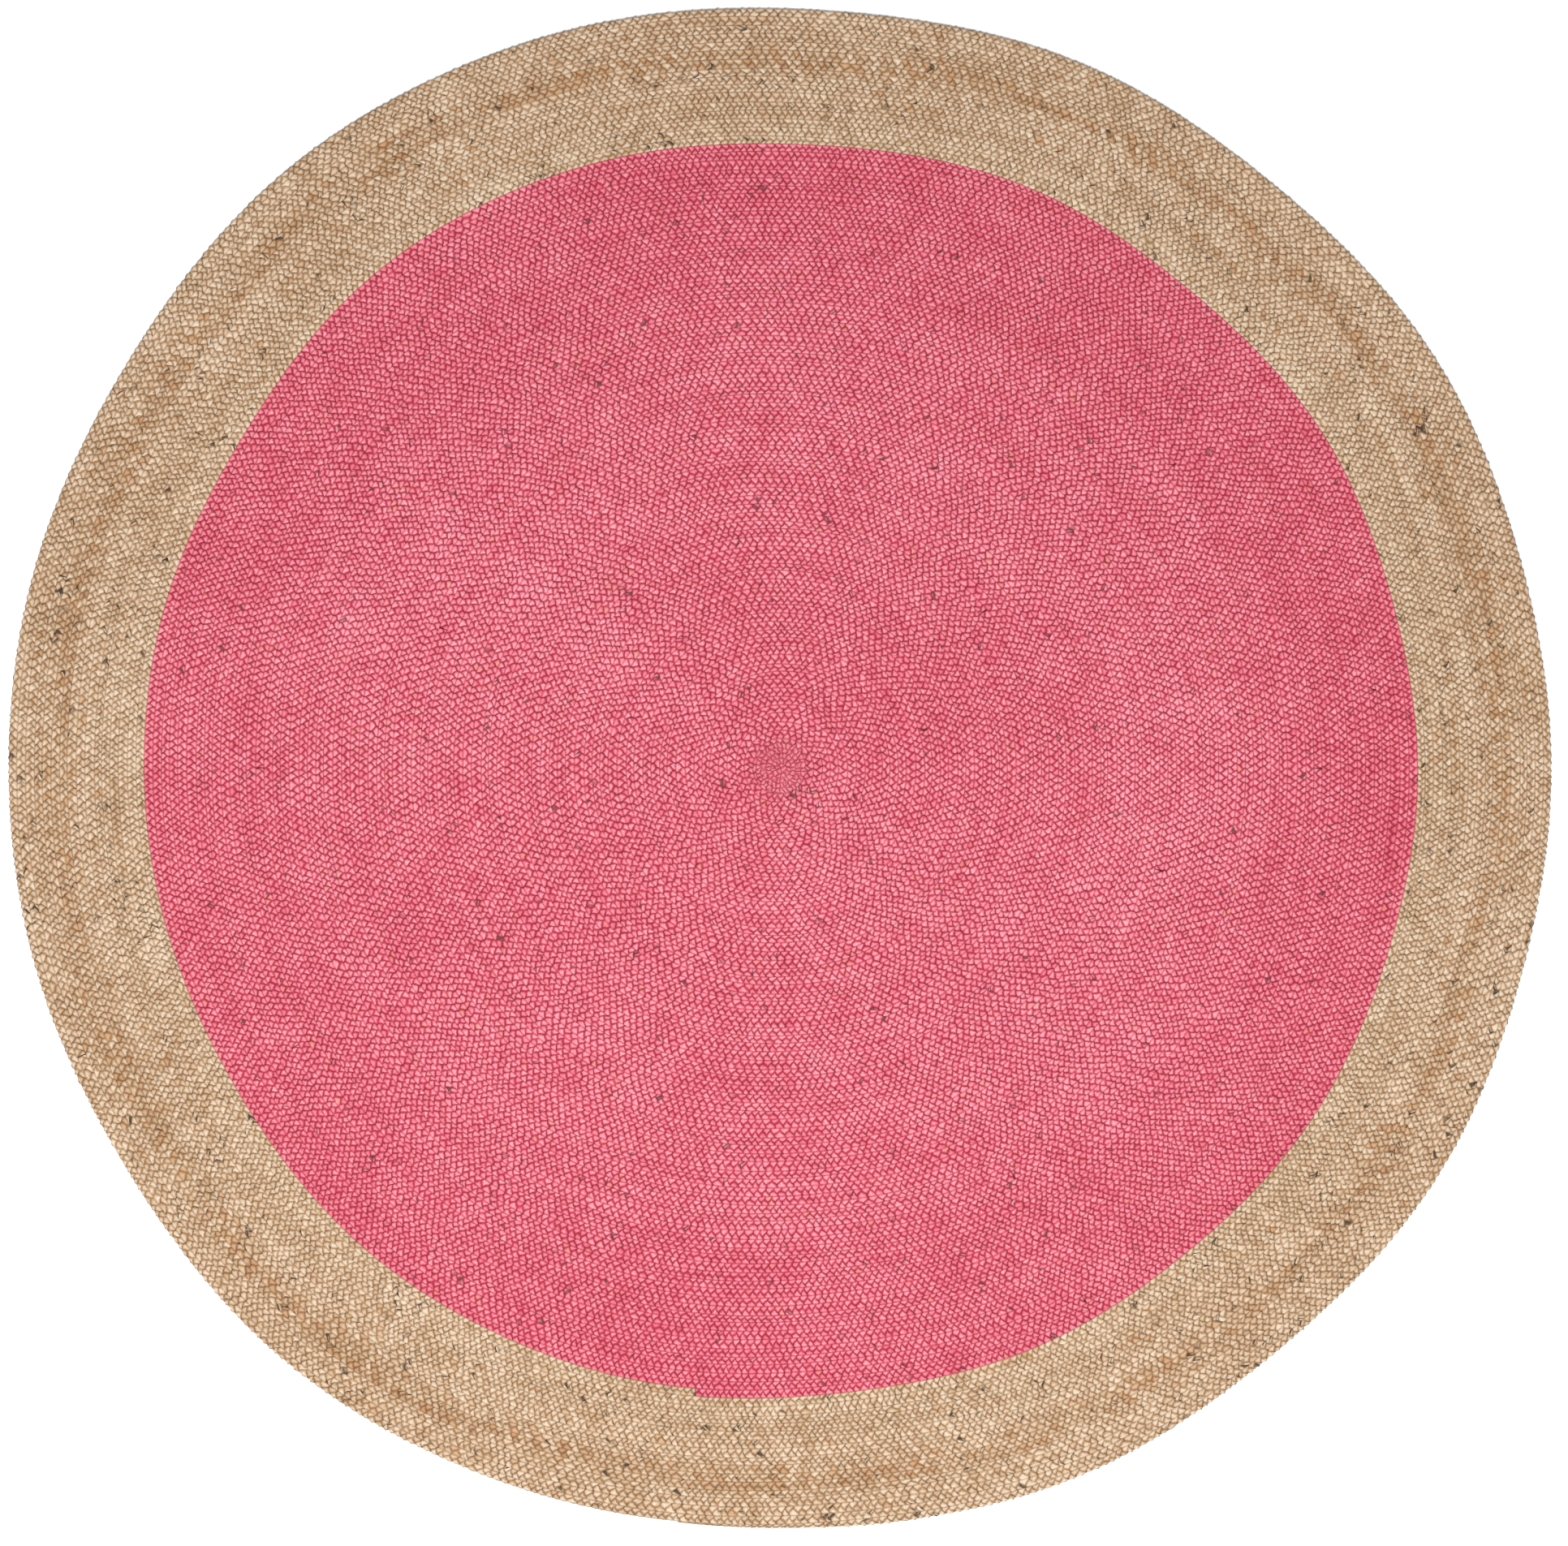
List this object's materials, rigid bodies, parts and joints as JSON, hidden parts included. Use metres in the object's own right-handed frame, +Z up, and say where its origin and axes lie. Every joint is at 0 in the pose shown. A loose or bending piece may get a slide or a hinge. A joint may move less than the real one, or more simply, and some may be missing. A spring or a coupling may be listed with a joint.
{
  "type": "area rug",
  "caption": "Round flat-braided jute rug: one spiral of three-strand braid with a dyed pink field and an undyed natural border.",
  "frame": {"origin": "centre of the outline's bounding box, on the underside that lies on the floor", "axes": "+Z up through the thickness; X and Y in the plane of the rug, with the outline a little wider along X; the braid winds outwards clockwise seen from +Z"},
  "size_m": [1.8354, 1.8076, 0.008],
  "materials": {
    "pink_jute": "dyed plaited jute, matt with a faint fibre sheen",
    "natural_jute": "undyed plaited jute, matt with a faint fibre sheen"
  },
  "bodies": {
    "root": {"pink_braid_01": "pink_jute", "pink_braid_02": "pink_jute", "pink_braid_03": "pink_jute", "pink_braid_04": "pink_jute", "pink_braid_05": "pink_jute", "pink_braid_06": "pink_jute", "pink_braid_07": "pink_jute", "pink_braid_08": "pink_jute", "pink_braid_09": "pink_jute", "pink_braid_10": "pink_jute", "pink_braid_11": "pink_jute", "pink_braid_12": "pink_jute", "pink_braid_13": "pink_jute", "pink_braid_14": "pink_jute", "pink_braid_15": "pink_jute", "pink_braid_16": "pink_jute", "pink_braid_17": "pink_jute", "pink_braid_18": "pink_jute", "natural_braid_01": "natural_jute", "natural_braid_02": "natural_jute", "natural_braid_03": "natural_jute", "natural_braid_04": "natural_jute", "natural_braid_05": "natural_jute", "natural_braid_06": "natural_jute", "natural_braid_07": "natural_jute", "natural_braid_08": "natural_jute"}
  },
  "joints": []
}
